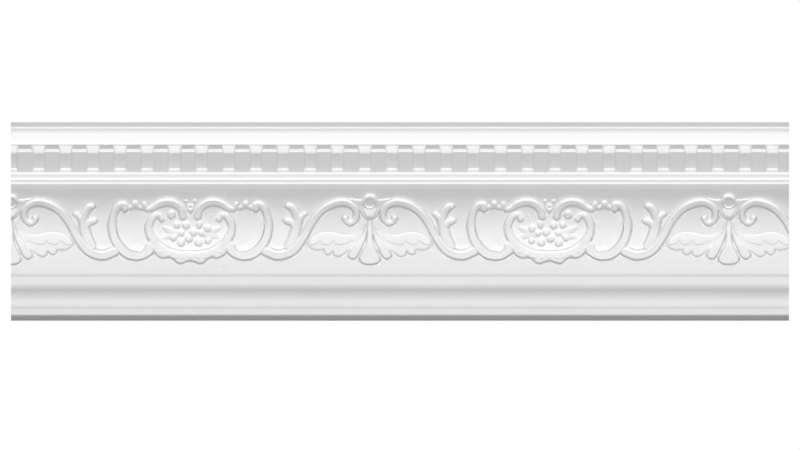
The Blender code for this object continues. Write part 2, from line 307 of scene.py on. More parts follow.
def smooth(points, step):
    """Points about a step apart on the Catmull-Rom curve through these points."""
    knots = np.array(points, float)
    ring = np.vstack([2 * knots[0] - knots[1], knots, 2 * knots[-1] - knots[-2]])
    found = []
    for a, b, c, d in zip(ring, ring[1:], ring[2:], ring[3:]):
        pieces = max(2, int(np.linalg.norm((c - b)[:2]) / step))
        t = (np.arange(pieces) / pieces)[:, None]
        curve = 2 * b + (c - a) * t + (2 * a - 5 * b + 4 * c - d) * t**2 + (3 * b - a - 3 * c + d) * t**3
        found.append(0.5 * curve)
    found.append(knots[-1:])
    return np.vstack(found)


def smooth_ring(points, step):
    """The same for a closed outline."""
    knots = [tuple(point) for point in points]
    around = smooth(knots[-2:] + knots + knots[:3], step)
    start = np.array(knots[0])[:2]
    first = np.abs(around[:, :2] - start).sum(1).argmin()
    rest = around[first:]
    # the end is looked for a few steps on, because the start itself is at no distance
    ahead = 5
    last = np.abs(rest[ahead:, :2] - start).sum(1).argmin() + ahead
    return rest[:last]


def wall(inside, height, width=WALL_WIDTH):
    """Height of a form this far inside its edge: a steep side that rounds over to a flat top."""
    share = np.clip(inside / width, 0, 1)
    side = SHOULDER_HEIGHT * share / SHOULDER_START
    turn = np.clip((share - SHOULDER_START) / (1 - SHOULDER_START), 0, 1)
    top = SHOULDER_HEIGHT + (1 - SHOULDER_HEIGHT) * np.sin(turn * math.pi / 2)
    return height * np.where(share < SHOULDER_START, side, top)


def soft_max(a, b):
    """The greater of two heights, with the corner where they cross rounded."""
    share = np.clip(0.5 + 0.5 * (a - b) / BLEND, 0, 1)
    return b + (a - b) * share + BLEND * share * (1 - share)


class Canvas:
    """A sheet of depths that relief is raised on."""

    def __init__(self, low, high):
        self.across = np.arange(low, high + CANVAS_STEP / 2, CANVAS_STEP)
        self.down = ZONE_TOP + FINE * np.arange(CELL * CELL_ROWS + 1)
        self.depth = np.repeat(ground(self.down)[:, None], len(self.across), axis=1)

    def window(self, low, high):
        """The part of the sheet between two corners, and the places of its spots."""
        columns = slice(*np.searchsorted(self.across, (low[0], high[0])))
        rows = slice(*np.searchsorted(self.down, (low[1], high[1])))
        across, down = np.meshgrid(self.across[columns], self.down[rows])
        return (rows, columns), across, down

    def raise_form(self, where, down, body, inside):
        """Raises a form over the ground, with a fine line cut along its foot where that is plain ground."""
        level = ground(down)
        before = self.depth[where]
        skirt = SKIRT * np.clip(-inside, 0, None)
        plain = np.clip(1 - (before - level) / FOOT_LINE_PLAIN, 0, 1)
        line = np.clip(1 + inside / FOOT_LINE_WIDTH, 0, 1) * (inside < 0)
        along_down, along_across = np.gradient(inside, FINE, CANVAS_STEP)
        level_edge = np.abs(along_down) / np.maximum(np.hypot(along_down, along_across), TINY)
        line *= np.clip((LEVEL_START - level_edge) / LEVEL_RUN, 0, 1)
        self.depth[where] = soft_max(level + body - skirt, before) - FOOT_LINE_DEPTH * plain * line

    def nearest(self, path, margin):
        """For each spot near a path: its window, the nearest point of the path, distance and side."""
        reach = path[:, 2].max() + margin
        where, across, down = self.window(path[:, :2].min(0) - reach, path[:, :2].max(0) + reach)
        spots = np.column_stack([across.ravel(), down.ravel()])
        best = np.full(len(spots), FAR)
        index = np.zeros(len(spots), int)
        for number, point in enumerate(path):
            away = (spots[:, 0] - point[0]) ** 2 + (spots[:, 1] - point[1]) ** 2
            # the distance in shares of the width there, so that a wide stretch isn't cut by a narrow one
            measure = away / point[2] ** 2
            closer = measure < best
            best[closer] = measure[closer]
            index[closer] = number
        away = spots - path[index, :2]
        distance = np.hypot(*away.T)
        ahead = np.gradient(path[:, :2], axis=0)[index]
        ahead /= np.maximum(np.hypot(*ahead.T), TINY)[:, None]
        side = ahead[:, 0] * away[:, 1] - ahead[:, 1] * away[:, 0]
        shape = across.shape
        return where, across, down, index.reshape(shape), distance.reshape(shape), side.reshape(shape)

    def tube(self, points, height=WALL_HEIGHT, dome=TUBE_DOME, rim=0.0):
        """A moulding along a path with a domed top. The rim is a low step up along one side."""
        path = smooth(points, PATH_STEP)
        where, _, down, index, distance, side = self.nearest(path, MARGIN)
        radius = path[index, 2]
        share = np.clip(distance / radius, 0, 1)
        inside = radius - distance
        full = height * np.clip(radius / FULL_RADIUS, 0, 1)
        swell = dome * np.clip((DOME_FOOT - down) / DOME_RUN, DOME_LEAST, 1)
        body = wall(inside, full, np.minimum(WALL_WIDTH, TUBE_WALL * radius)) + swell * (1 - share**2)
        if rim:
            line = side / radius * np.sign(rim)
            along = index / (len(path) - 1)
            fade = np.clip(np.minimum(along - RIM_ENDS[0], RIM_ENDS[1] - along) * RIM_FADE, 0, 1)
            body += abs(rim) * fade * np.clip((line - RIM_START) / RIM_RUN, 0, 1) * (share < 1)
        self.raise_form(where, down, body, inside)

    def ramp(self, points, width=RAMP_WIDTH, height=RAMP_HEIGHT):
        """Ground that sweeps up to the inner side of a path, with a fine groove where it meets it."""
        path = smooth(points, RAMP_STEP)
        outline = path.copy()
        outline[:, 2] += width
        where, _, down, index, distance, side = self.nearest(outline, 0.0)
        beyond = distance - path[index, 2]
        along = index / (len(path) - 1)
        fade = np.sin(np.clip(np.minimum(along, 1 - along) * END_FADE, 0, 1) * math.pi / 2)
        here = (side < 0) & (beyond < width)
        sweep = height * fade * (1 - np.clip(beyond, 0, width) / width) ** 2
        raised = np.where(here, ground(down) + sweep, -FAR)
        self.depth[where] = soft_max(raised, self.depth[where])
        cut = GROOVE_DEPTH * fade * np.clip(1 - beyond / GROOVE_WIDTH, 0, 1) * (here & (beyond > 0))
        self.depth[where] -= cut

    def ball(self, across, down, radius, height=BALL_HEIGHT, dome=None, tall=1.0):
        """A ball half sunk in the ground, or an oval one with its height in shares of its width."""
        dome = BALL_DOME * radius if dome is None else dome
        reach = radius * max(1, tall) + MARGIN
        low, high = (across - reach, down - reach), (across + reach, down + reach)
        where, spots_across, spots_down = self.window(low, high)
        distance = np.hypot(spots_across - across, (spots_down - down) / tall)
        share = np.clip(distance / radius, 0, 1)
        inside = radius - distance
        body = wall(inside, height, np.minimum(WALL_WIDTH, BALL_WALL * radius)) + dome * (1 - share**2)
        self.raise_form(where, spots_down, body, inside)

    def distance_inside(self, outline):
        """For spots near a closed outline: how far inside it they are, negative outside."""
        where, across, down = self.window(outline.min(0) - MARGIN, outline.max(0) + MARGIN)
        best = np.full(across.shape, FAR)
        inside = np.zeros(across.shape, bool)
        for start, end in zip(outline, np.roll(outline, -1, axis=0)):
            edge = end - start
            share = (across - start[0]) * edge[0] + (down - start[1]) * edge[1]
            share = np.clip(share / max(edge @ edge, TINY), 0, 1)
            gap = np.hypot(across - start[0] - share * edge[0], down - start[1] - share * edge[1])
            best = np.minimum(best, gap)
            if start[1] != end[1]:
                crossing = start[0] + (down - start[1]) / (end[1] - start[1]) * edge[0]
                spans = (down >= min(start[1], end[1])) & (down < max(start[1], end[1]))
                inside ^= spans & (across < crossing)
        return where, across, down, np.where(inside, best, -best)

    def dish(self, across, down, radius, tall, depth, edge):
        """A hollow whose floor deepens from its head to its foot."""
        low, high = (across - radius, down - radius), (across + radius, down + radius)
        where, spots_across, spots_down = self.window(low, high)
        distance = np.hypot(spots_across - across, (spots_down - down) / tall)
        rounding = np.clip((radius - distance) / edge, 0, 1)
        upward = np.clip(0.5 - (spots_down - down) / (2 * radius * tall), 0, 1)
        fall = DISH_HEAD + (1 - DISH_HEAD) * (1 - upward)
        self.depth[where] -= depth * np.sin(rounding * math.pi / 2) * fall

    def plate(self, points, relief, edge=WALL_WIDTH, dome=0.0, rise=None, fade=None):
        """A raised form with steep edges. It rises between two places across, or two places down."""
        outline = smooth_ring(points, OUTLINE_STEP)
        where, across, down, inside = self.distance_inside(outline)
        body = wall(inside, relief, edge)
        body += dome * np.sin(np.clip(inside / inside.max(), 0, 1) * math.pi / 2)
        if rise:
            share = np.clip((across - rise[0]) / (rise[1] - rise[0]), 0, 1)
            body *= RISE_START + (1 - RISE_START) * share
        if fade:
            share = np.clip((down - fade[0]) / (fade[1] - fade[0]), 0, 1)
            body *= FADE_START + (1 - FADE_START) * share
        self.raise_form(where, down, body, inside)

    def layer(self, points, height, edge, fade):
        """A thin layer added on what is there, from nothing at its head to its full height."""
        where, _, down, inside = self.distance_inside(smooth_ring(points, OUTLINE_STEP))
        share = np.clip((down - fade[0]) / (fade[1] - fade[0]), 0, 1)
        self.depth[where] += height * share * np.clip(inside / edge, 0, 1)

    def groove(self, points, depth, width):
        """A fine line cut along a path. It tapers out at both ends."""
        path = smooth([(*point, width) for point in points], PATH_STEP)
        where, _, _, index, distance, _ = self.nearest(path, width * 2)
        along = index / (len(path) - 1)
        taper = np.clip(np.minimum(along, 1 - along) * END_FADE, 0, 1)
        self.depth[where] -= depth * taper * np.exp(-((distance / width) ** 2))


# Drawing of half a repeat: along the wall from the palmette's centre line, down, and half the width.
# Outlines leave the third out. The ground sweeps up to a bay's edge from these points of its frame on.
S_SCROLL = (
    (24.6, 96.6, 2.9),
    (23.0, 100.0, 2.9),
    (19.0, 101.2, 3.0),
    (14.6, 98.0, 3.2),
    (13.4, 91.0, 3.4),
    (17.4, 84.0, 3.7),
    (27.7, 80.6, 4.0),
    (41.0, 84.5, 3.9),
    (51.2, 92.2, 3.9),
    (58.9, 102.4, 3.9),
    (66.5, 115.7, 4.2),
    (77.0, 129.0, 4.6),
    (91.6, 133.6, 5.0),
    (104.0, 129.5, 5.0),
)
SCROLL_BAY = 11
SPRIG_BODY = ((72.0, 96.0, 4.4), (73.2, 104.0, 5.0), (76.3, 115.7, 5.2), (80.8, 125.0, 5.0))
SPRIG_TOP = ((81.4, 84.6, 3.3), (77.6, 86.2, 3.7), (74.0, 92.0, 4.2), (72.6, 97.0, 4.4))
SPRIG_INNER = ((65.0, 92.2, 2.7), (69.4, 96.2, 3.4), (72.0, 100.0, 4.0))
SPRIG_LOWER = ((83.0, 99.2, 3.4), (78.6, 100.4, 3.7), (75.0, 104.0, 4.2))
C_FRAME = (
    (114.1, 86.6, 3.9),
    (114.4, 83.6, 3.6),
    (110.6, 83.0, 3.6),
    (107.0, 85.4, 3.7),
    (103.8, 90.8, 3.7),
    (101.0, 103.5, 3.9),
    (103.1, 115.5, 4.1),
    (109.2, 125.8, 4.6),
    (117.0, 132.4, 4.6),
    (126.0, 134.4, 4.3),
    (133.2, 133.6, 3.5),
    (138.2, 129.0, 5.0),
    (139.8, 124.5, 6.0),
)
FRAME_BAY = 4
TOP_BALL = (124.3, 82.5, 4.1)
S_CURVE = (
    (133.6, 82.6, 3.1),
    (135.8, 87.2, 3.0),
    (141.6, 86.4, 3.4),
    (148.6, 82.4, 3.9),
    (157.2, 80.4, 4.0),
    (165.0, 82.8, 4.1),
    (170.4, 88.2, 4.0),
    (172.2, 94.4, 4.2),
)
CARTOUCHE_FRAME = (
    (150.9, 97.0, 3.5),
    (148.0, 93.2, 3.0),
    (143.0, 95.0, 3.5),
    (138.6, 103.0, 3.9),
    (138.9, 111.5, 4.0),
    (143.5, 119.5, 4.6),
)
BASKET_INNER = (
    (142.2, 106.0),
    (144.1, 113.6),
    (148.9, 119.7),
    (155.3, 124.5),
    (161.7, 127.3),
    (168.1, 128.8),
)
BASKET_MIDDLE = (129.4, 139.4)
EDGE_RADIUS = 0.1
BASKET_OUTER = (
    (174.6, 140.6),
    (172.0, 141.8),
    (168.6, 142.1),
    (165.4, 140.7),
    (162.0, 137.6),
    (157.8, 135.9),
    (153.6, 136.6),
    (149.4, 135.8),
    (145.6, 133.4),
    (143.2, 130.6),
    (140.4, 126.0),
    (137.6, 119.2),
    (136.5, 108.0),
)
BULB_LINK = (
    (113.6, 87.0, 3.0),
    (118.6, 85.6, 2.5),
    (124.3, 84.0, 3.0),
    (129.6, 85.4, 2.5),
    (134.4, 86.0, 3.0),
)
HOOK_BULB = (114.1, 86.3, 4.4)
CURVE_BULB = (134.1, 84.4, 3.9)

# From the cartouche's centre line: the beads on the basket, and the small crown over it
BASKET_BEADS = ((0.0, 134.8), (7.8, 135.2), (14.7, 134.8), (22.2, 132.2), (29.6, 129.8), (36.6, 125.8))
BASKET_BEAD_RADIUS = 2.4
CROWN_BALL = (4.3, 79.3, 2.0)
CROWN_DROP = (83.8, 2.0)
CROWN_BODY = ((0.0, 85.6), (2.4, 84.6), (4.4, 82.0), (5.2, 83.0), (4.2, 86.4), (2.4, 89.6), (0.0, 91.2))
CROWN_HORN = ((4.4, 79.6, 1.5), (3.6, 82.6, 1.5), (2.0, 85.6, 1.7))

# The palmette, on its centre line
CENTRE_LOBE = (
    (0.0, 104.0),
    (2.4, 106.0),
    (2.8, 113.4),
    (4.0, 120.3),
    (6.4, 127.1),
    (8.8, 131.7),
    (10.7, 135.4),
    (9.6, 140.0),
    (6.0, 142.2),
    (0.0, 142.8),
)
CENTRE_FLUTES = (((0.0, 108.0), (0.0, 140.0)), ((1.6, 110.0), (3.6, 126.0), (5.2, 138.0)))
SECOND_LOBE = (
    (2.6, 104.0),
    (3.2, 113.4),
    (6.2, 122.6),
    (9.2, 128.6),
    (11.8, 134.0),
    (15.0, 137.0),
    (19.4, 137.0),
    (21.9, 133.4),
    (18.9, 127.1),
    (13.1, 119.1),
    (6.6, 111.1),
    (4.4, 105.0),
)
SECOND_FLUTE = ((5.6, 110.0), (10.2, 118.6), (15.0, 127.0), (17.6, 132.6))
LOBE_FADE = (100.0, 124.0)
CHIN_FADE = (81.0, 93.0)
WING = (
    (0.0, 99.0),
    (4.5, 106.5),
    (13.0, 111.2),
    (26.4, 112.4),
    (37.0, 110.0),
    (44.3, 109.8),
    (52.0, 111.8),
    (58.6, 116.4),
    (62.1, 121.8),
    (59.9, 126.0),
    (53.0, 128.4),
    (46.4, 127.8),
    (45.4, 131.6),
    (42.2, 133.1),
    (38.6, 131.8),
    (36.9, 129.6),
    (36.0, 133.2),
    (32.2, 134.9),
    (27.0, 133.4),
    (21.6, 129.0),
    (14.0, 128.0),
    (0.0, 126.0),
)
WING_TOP = (
    (15.0, 112.4),
    (26.4, 112.4),
    (37.0, 110.0),
    (44.3, 109.8),
    (52.0, 111.8),
    (58.4, 116.4),
    (60.4, 120.8),
    (59.2, 122.9),
    (54.0, 122.0),
    (49.0, 118.2),
    (48.2, 120.8),
    (44.6, 122.4),
    (39.0, 121.4),
    (35.2, 118.2),
    (34.0, 121.6),
    (28.0, 122.4),
    (20.0, 119.6),
    (15.0, 118.0),
)
WING_RISE = (8.0, 34.0)
WING_FADE = (107.0, 140.0)
WING_TOP_FADE = (108.0, 125.0)
WING_LINE = ((17.0, 112.4), (26.4, 112.4), (37.0, 110.0), (44.3, 109.8), (52.0, 111.8), (58.6, 116.4))
EAR = (
    (4.0, 76.4),
    (11.0, 77.4),
    (19.6, 76.2),
    (21.0, 77.4),
    (17.6, 80.0),
    (13.0, 84.0),
    (9.6, 90.0),
    (5.6, 96.0),
    (0.0, 97.0),
    (0.0, 77.0),
)
BOSS = (0.0, 79.8, 8.1)
BOSS_TALL = 0.95
BOSS_HOLLOW = (0.0, 80.9, 5.6, 0.92)
CHIN = (
    (0.0, 84.0),
    (5.0, 84.2),
    (7.9, 86.6),
    (7.4, 90.0),
    (5.9, 93.6),
    (4.4, 96.2),
    (3.0, 97.2),
    (0.0, 97.4),
)

# Fruit of the cartouche, from the cartouche's centre line towards the middle palmette
GRAPES = (
    (-13.6, 103.1, 3.9),
    (-4.3, 103.4, 4.3),
    (-9.0, 111.1, 3.6),
    (-9.5, 120.9, 4.6),
    (-16.9, 115.5, 4.1),
    (-1.4, 116.4, 4.5),
    (2.8, 110.4, 4.3),
    (11.4, 111.1, 3.8),
    (8.4, 120.7, 4.6),
    (17.8, 118.7, 4.1),
    (17.4, 106.4, 4.6),
)
PENDANT = (8.9, 102.6, 3.6, 1.3)
RING_BEAD = (-18.8, 92.6, 4.5)
FRUIT_LEAVES = (
    ((-14.0, 111.5, 4.2), (-20.5, 108.5, 4.0), (-26.6, 105.2, 1.9)),
    ((-14.0, 112.5, 3.8), (-21.5, 114.0, 3.6), (-28.0, 116.0, 2.3)),
    ((16.0, 111.5, 4.2), (23.0, 108.8, 4.0), (29.2, 105.4, 1.9)),
    ((16.0, 112.5, 3.8), (24.0, 113.6, 3.8), (30.0, 115.8, 2.3)),
)
TENDRIL = ((20.9, 92.8, 1.2), (19.8, 97.0, 1.1), (18.6, 101.0, 1.3), (22.2, 105.2, 1.1))


def mirrored(outline):
    """An outline drawn on one side of the centre line, closed across it."""
    return list(outline) + [(-across, down) for across, down in reversed(outline) if across]


def palmette(canvas):
    """Wings, lobes, ear leaves, chin and boss, in the order in which they lie on each other."""
    canvas.plate(WING, relief=2.5, rise=WING_RISE, fade=WING_FADE)
    canvas.layer(WING_TOP, height=1.1, edge=0.7, fade=WING_TOP_FADE)
    canvas.groove(WING_LINE, depth=0.4, width=0.8)
    canvas.plate(SECOND_LOBE, relief=4.4, edge=1.8, fade=LOBE_FADE)
    canvas.plate(mirrored(CENTRE_LOBE), relief=4.8, edge=1.8, fade=LOBE_FADE)
    for flute in (*CENTRE_FLUTES, SECOND_FLUTE):
        canvas.groove(flute, depth=0.3, width=0.8)
    canvas.plate(mirrored(EAR), relief=2.0, edge=1.2)
    canvas.plate(mirrored(CHIN), relief=4.4, edge=2.8, dome=1.0, fade=CHIN_FADE)
    canvas.ball(*BOSS, height=4.4, dome=2.2, tall=BOSS_TALL)
    canvas.dish(*BOSS_HOLLOW, depth=4.6, edge=0.8)


def sprig(canvas):
    """The three pronged sprig beside the scroll."""
    for stem in (SPRIG_BODY, SPRIG_TOP, SPRIG_INNER, SPRIG_LOWER):
        canvas.tube(stem)


def bulbs(canvas):
    """The ball and the two bulbs beside it, with the neck that joins them."""
    canvas.tube(BULB_LINK, height=3.4, dome=0.4)
    for bulb in (TOP_BALL, HOOK_BULB, CURVE_BULB):
        canvas.ball(*bulb)


def basket(canvas):
    """The basket under the cartouche, across its centre line, and the ramp along its inner edge."""
    inner_drop, outer_drop = BASKET_MIDDLE
    inner_beyond = [(2 * HALF - across, down) for across, down in reversed(BASKET_INNER)]
    outer_beyond = [(2 * HALF - across, down) for across, down in reversed(BASKET_OUTER)]
    edge = [*BASKET_INNER, (HALF, inner_drop), *inner_beyond]
    canvas.plate([*edge, *outer_beyond, (HALF, outer_drop), *BASKET_OUTER], relief=WALL_HEIGHT)
    canvas.ramp([(across, down, EDGE_RADIUS) for across, down in edge])


def crown(canvas):
    """The small crown over the cartouche."""
    canvas.plate(
        [(across + HALF, down) for across, down in mirrored(CROWN_BODY)],
        relief=3.0,
        edge=1.6,
        dome=0.4,
    )
    canvas.tube([(HALF - across, down, radius) for across, down, radius in CROWN_HORN], height=4.0)
    across, down, radius = CROWN_BALL
    for side in (-1, 1):
        canvas.ball(HALF + side * across, down, radius, height=2.0)
    canvas.ball(HALF, *CROWN_DROP, height=3.2, dome=0.9)


def half_canvas():
    """Half a repeat, from the palmette's centre line to the cartouche's."""
    canvas = Canvas(-OVERLAP, HALF + OVERLAP)
    palmette(canvas)
    canvas.tube(S_SCROLL, rim=-0.5)
    canvas.ramp(S_SCROLL[SCROLL_BAY:], width=6.0, height=2.4)
    canvas.ball(*S_SCROLL[0])
    sprig(canvas)
    canvas.tube(C_FRAME, rim=0.5)
    canvas.ramp(C_FRAME[FRAME_BAY:])
    bulbs(canvas)
    canvas.tube(S_CURVE, rim=-0.5)
    canvas.tube(CARTOUCHE_FRAME, rim=0.5)
    basket(canvas)
    crown(canvas)
    for across, down in BASKET_BEADS:
        canvas.ball(HALF - across, down, BASKET_BEAD_RADIUS, height=4.5, dome=0.6)
    return canvas


def fruit_canvas():
    """The fruit and leaves of one cartouche, over plain ground."""
    canvas = Canvas(-FRUIT_REACH, FRUIT_REACH)
    for leaf in FRUIT_LEAVES:
        canvas.tube(leaf, height=2.0, dome=0.9)
    canvas.tube(TENDRIL, height=1.6, dome=0.5)
    for grape in GRAPES:
        canvas.ball(*grape)
    across, down, radius, tall = PENDANT
    canvas.ball(across, down, radius, tall=tall)
    across, down, radius = RING_BEAD
    canvas.ball(across, down, radius)
    canvas.dish(across, down, 0.5 * radius, tall=1.0, depth=0.7, edge=0.4)
    return canvas


def read_columns(canvas, across):
    """A canvas read at these places, between its own columns."""
    # the last place stays just short of the last column, so that each has a column to its right
    place = np.clip((across - canvas.across[0]) / CANVAS_STEP, 0, len(canvas.across) - 1.001)
    left = place.astype(int)
    share = place - left
    return canvas.depth[:, left] * (1 - share) + canvas.depth[:, left + 1] * share


def ornament():
    """Depths over the whole ornament zone: rows down, columns along the length."""
    columns = LOW[0] + FINE * np.arange(CELL * CELL_COLUMNS + 1)
    from_middle = columns - PATTERN_SHIFT
    folded = np.abs((from_middle + HALF) % REPEAT - HALF)
    depth = read_columns(half_canvas(), folded)
    fruit = fruit_canvas()
    from_cartouche = HALF - np.abs(from_middle)
    near = np.abs(from_cartouche) < FRUIT_USED
    found = read_columns(fruit, from_cartouche[near])
    depth[:, near] = soft_max(found, depth[:, near])
    return depth


def block_worst(values, size):
    """The greatest value in each square of this size."""
    rows, columns = values.shape[0] // size, values.shape[1] // size
    return values[: rows * size, : columns * size].reshape(rows, size, columns, size).max(axis=(1, 3))


def flatness_error(depth, size):
    """For each square of this size, how far the surface leaves the twisted plane on its corners."""
    rows, columns = (np.arange(0, count, size) for count in depth.shape)
    corners = depth[np.ix_(rows, columns)]
    slope = np.hypot(*np.gradient(depth, FINE))
    facing = 1 / np.sqrt(1 + slope**2)
    worst = np.zeros((len(rows) - 1, len(columns) - 1))
    high, wide = depth.shape
    for down in range(size + 1):
        for across in range(size + 1):
            u, v = across / size, down / size
            flat = (
                corners[:-1, :-1] * (1 - u) * (1 - v)
                + corners[:-1, 1:] * u * (1 - v)
                + corners[1:, :-1] * (1 - u) * v
                + corners[1:, 1:] * u * v
            )
            spots = np.s_[down : down + high - size : size, across : across + wide - size : size]
            worst = np.maximum(worst, np.abs(depth[spots] - flat) * facing[spots])
    return worst


def square_sizes(depth):
    """The size of the square over each fine spot: large on plain ground, and neighbours at most double."""
    size = CELL
    sizes = np.ones((depth.shape[0] - 1, depth.shape[1] - 1), int)
    while size > 1:
        calm = flatness_error(depth, size) < SPLIT_ERROR
        for step in range(int(math.log2(size))):
            smaller = 2**step
            if smaller > 1:
                inner = flatness_error(depth, smaller) >= SPLIT_ERROR
                calm &= ~(block_worst(inner.astype(int), size // smaller) > 0)
        full = np.kron(calm.astype(int), np.ones((size, size), int)).astype(bool)
        sizes = np.where(full & (sizes < size), size, sizes)
        size //= 2
    changed = True
    while changed:
        changed = False
        for size in (CELL, CELL // 2):
            padded = np.pad(sizes, size, constant_values=CELL)
            least = np.full_like(padded, CELL)
            for shift in range(1, size + 1):
                least = np.minimum(least, np.roll(padded, shift, 0))
                least = np.minimum(least, np.roll(padded, -shift, 0))
                least = np.minimum(least, np.roll(padded, shift, 1))
                least = np.minimum(least, np.roll(padded, -shift, 1))
            least = least[size:-size, size:-size]
            held = (sizes == size).astype(int)
            too_fine = (least < size // 2).astype(int) * held
            blocks = block_worst(too_fine, size)
            split = np.kron(blocks, np.ones((size, size), int)).astype(bool) & (sizes == size)
            if split.any():
                sizes[split] = size // 2
                changed = True
    return sizes


class Shell:
    """Vertices and faces as they are made."""

    def __init__(self):
        self.spots = []
        self.faces = []
        self.count = 0

    def add(self, across, depth, down):
        """Adds vertices, in millimetres of the drawing, and gives their numbers."""
        across, depth, down = np.broadcast_arrays(across, depth, down)
        place = np.column_stack([across.ravel(), -depth.ravel(), HIGH[2] - down.ravel()])
        self.spots.append(place)
        numbers = self.count + np.arange(len(place))
        self.count += len(place)
        return numbers

    def grid(self, numbers):
        """Quads over rows of vertices that match."""
        upper, lower = numbers[:-1], numbers[1:]
        quads = np.stack([upper[:, :-1], lower[:, :-1], lower[:, 1:], upper[:, 1:]], axis=-1)
        self.faces += quads.reshape(-1, 4).tolist()

    def zip_rows(self, upper, upper_across, lower, lower_across):
        """Triangles between two rows of vertices with unlike spacing."""
        i = j = 0
        while i < len(upper) - 1 or j < len(lower) - 1:
            more_upper = i < len(upper) - 1
            more_lower = j < len(lower) - 1
            if more_upper and (not more_lower or upper_across[i + 1] <= lower_across[j + 1]):
                self.faces.append([upper[i], lower[j], upper[i + 1]])
                i += 1
            else:
                self.faces.append([upper[i], lower[j], lower[j + 1]])
                j += 1


def plain_columns():
    """Places along the length for rows that are straight."""
    return np.linspace(LOW[0], HIGH[0], PLAIN_COLUMNS + 1)


def dentil_share(offset):
    """How much of a dentil's height is left this far past its edge: the gap is a hollow flute."""
    clear = (DENTIL_PITCH - DENTIL_WIDTH) / 2
    if offset <= -EDGE_ROUND:
        return 1.0
    if offset <= 0.0:
        return 1.0 - EDGE_LOSS * (1 + offset / EDGE_ROUND) ** 2
    edge_left = 1.0 - EDGE_LOSS
    if offset <= WALL_RUN:
        return edge_left - (edge_left - FLUTE_HEAD) * offset / WALL_RUN
    off_centre = 1 - min((offset - WALL_RUN) / (clear - WALL_RUN), 1.0)
    return FLUTE_HEAD * (1 - (1 - off_centre**FLUTE_POWER) ** (1 / FLUTE_POWER))


def dentil_columns():
    """Columns of the dentil course: place, share of a dentil, side and offset, and which are used."""
    half = DENTIL_WIDTH / 2
    count = int(LENGTH / DENTIL_PITCH) + 1
    places = []
    for index in range(-count, count + 1):
        centre = DENTIL_SHIFT + index * DENTIL_PITCH
        for offset in WALL_OFFSETS:
            for side in (-1, 1):
                places.append((centre + side * (half + offset), dentil_share(offset), side, offset))
        places.append((centre + DENTIL_PITCH / 2, 0.0, 0, half))
    places.sort()
    margin = DENTIL_TOP_TAPER + END_CLEARANCE
    return places, [LOW[0] + margin < place[0] < HIGH[0] - margin for place in places]


def dentil_course():
    """Rows (place, depth) from the crease to the bed, with their heights, and the straight row on top."""
    places, inside = dentil_columns()
    dentil_soft = eased(dentil_line, DENTIL_EASE)
    gap_soft = eased(gap_line, DENTIL_EASE)
    heights = np.unique(
        np.concatenate([thinned(line, DENTIL_ROW_ERROR)[:, 1] for line in (dentil_soft, gap_soft)])
    )
    kept = [heights[0]]
    for height in heights[1:]:
        if height - kept[-1] > DENTIL_ROW_LEAST:
            kept.append(height)
    kept[-1] = heights[-1]
    heights = np.array(kept)
    on_dentil = np.interp(heights, dentil_soft[:, 1], dentil_soft[:, 0])
    in_gap = np.interp(heights, gap_soft[:, 1], gap_soft[:, 0])
    rows = []
    for number, height in enumerate(heights):
        taper = DENTIL_TOP_TAPER * np.clip(1 - (height - CREASE[1]) / DENTIL_FACE[0][0], 0, 1)
        row = []
        for across, share, side, offset in places:
            # the taper pulls the wall in at the dentil's head, and the pull dies away from the wall
            pull = taper * (1 - min(abs(offset) / TAPER_REACH, 1.0) * TAPER_LOSS) if side else 0.0
            spot = across - side * pull
            depth = in_gap[number] + (on_dentil[number] - in_gap[number]) * share
            row.append((spot, depth))
        row = np.array(row)
        ends = [(end, np.interp(end, row[:, 0], row[:, 1])) for end in (LOW[0], HIGH[0])]
        rows.append(np.vstack([ends[0], row[inside], ends[1]]))
    first_row = rows[0].copy()
    first_row[:, 1] = CREASE[0]
    return first_row, rows, heights


def build_shell():
    """The whole closed surface: crown, dentil course, bed, ornament zone, foot, back and ends."""
    shell = Shell()
    left, right = [], []
    plain = plain_columns()

    def plain_rows(line):
        numbers = np.array([shell.add(plain, depth, down) for depth, down in line])
        left.extend(numbers[:, 0])
        right.extend(numbers[:, -1])
        shell.grid(numbers)
        return numbers

    crown = thinned(eased(crown_line, CORNER_EASE))
    crown[0] = (TOP_DEPTH, 0.0)
    crown_numbers = plain_rows(crown[:-1])

    first_row, rows, heights = dentil_course()
    numbers = [shell.add(first_row[:, 0], first_row[:, 1], CREASE[1])]
    numbers += [shell.add(row[:, 0], row[:, 1], height) for row, height in zip(rows, heights)]
    numbers = np.array(numbers)
    shell.zip_rows(crown_numbers[-1], plain, numbers[0], first_row[:, 0])
    shell.grid(numbers)
    left.extend(numbers[:, 0])
    right.extend(numbers[:, -1])

    bed = thinned(below_line[below_line[:, 1] < ZONE_TOP - SEAM])[1:]
    bed_numbers = plain_rows(bed)
    shell.zip_rows(numbers[-1], rows[-1][:, 0], bed_numbers[0], plain)

    depth = ornament()
    sizes = square_sizes(depth)
    zone = zone_faces(shell, depth, sizes)
    top = zone[0][zone[0] >= 0]
    foot = zone[-1][zone[-1] >= 0]
    columns = LOW[0] + FINE * np.arange(depth.shape[1])
    shell.zip_rows(bed_numbers[-1], plain, top, columns[zone[0] >= 0])
    left.extend(zone[:, 0][zone[:, 0] >= 0])
    right.extend(zone[:, -1][zone[:, -1] >= 0])

    foot_line = below_line[below_line[:, 1] > ZONE_FOOT + SEAM]
    foot_line = thinned(np.vstack([foot_line, [(0.0, HEIGHT)]]))
    foot_line = foot_line[:-1]
    back = [(0.0, HEIGHT), (0.0, HEIGHT - WALL_STRIP), (TOP_DEPTH - CEILING_STRIP, 0.0)]
    foot_numbers = plain_rows(np.vstack([foot_line, back]))
    shell.zip_rows(foot, columns[zone[-1] >= 0], foot_numbers[0], plain)
    shell.grid(np.array([foot_numbers[-1], crown_numbers[0]]))

    shell.faces.append([int(number) for number in reversed(left)])
    shell.faces.append([int(number) for number in right])
    return shell


